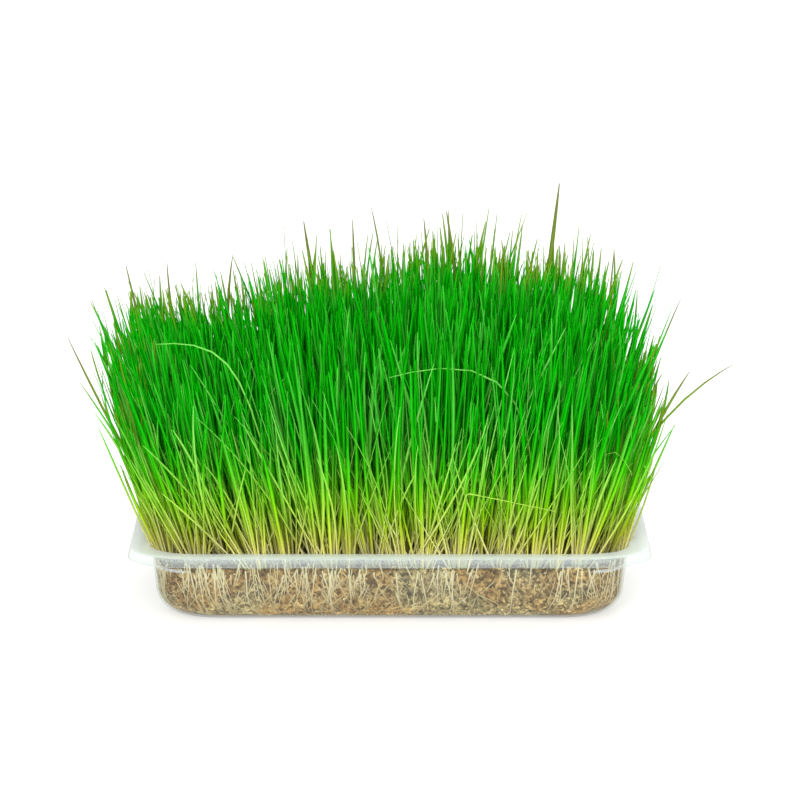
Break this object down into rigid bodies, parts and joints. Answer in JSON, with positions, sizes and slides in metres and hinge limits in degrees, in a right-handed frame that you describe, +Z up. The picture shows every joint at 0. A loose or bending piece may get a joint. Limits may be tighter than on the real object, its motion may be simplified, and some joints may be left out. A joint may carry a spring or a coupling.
{
  "type": "wheatgrass tray",
  "caption": "Shallow clear plastic tray with a flanged rim, filled with soil and grown over with a dense stand of fresh wheatgrass that fans out above the rim.",
  "frame": {"origin": "centre of the tray's flat underside", "axes": "+Z up, +X along the tray's length, front towards -Y"},
  "size_m": [0.344, 0.2109, 0.208],
  "materials": {
    "tray": "clear, slightly milky, smooth",
    "soil": "loose and crumbly, matte",
    "grass": "fresh leaf, cream at the foot, yellow green above it, deep green blades with olive tips"
  },
  "bodies": {
    "root": {"tray": "tray", "soil": "soil", "grass_bunch_01": "grass", "grass_bunch_02": "grass", "grass_bunch_03": "grass", "grass_bunch_04": "grass", "grass_bunch_05": "grass", "grass_bunch_06": "grass", "grass_bunch_07": "grass", "grass_bunch_08": "grass", "grass_bunch_09": "grass", "grass_bunch_10": "grass", "grass_bunch_11": "grass", "grass_bunch_12": "grass", "grass_bunch_13": "grass", "grass_bunch_14": "grass", "grass_bunch_15": "grass", "grass_bunch_16": "grass", "grass_bunch_17": "grass", "grass_bunch_18": "grass", "grass_bunch_19": "grass", "grass_bunch_20": "grass", "grass_bunch_21": "grass", "grass_bunch_22": "grass", "grass_bunch_23": "grass", "grass_bunch_24": "grass"}
  },
  "joints": []
}
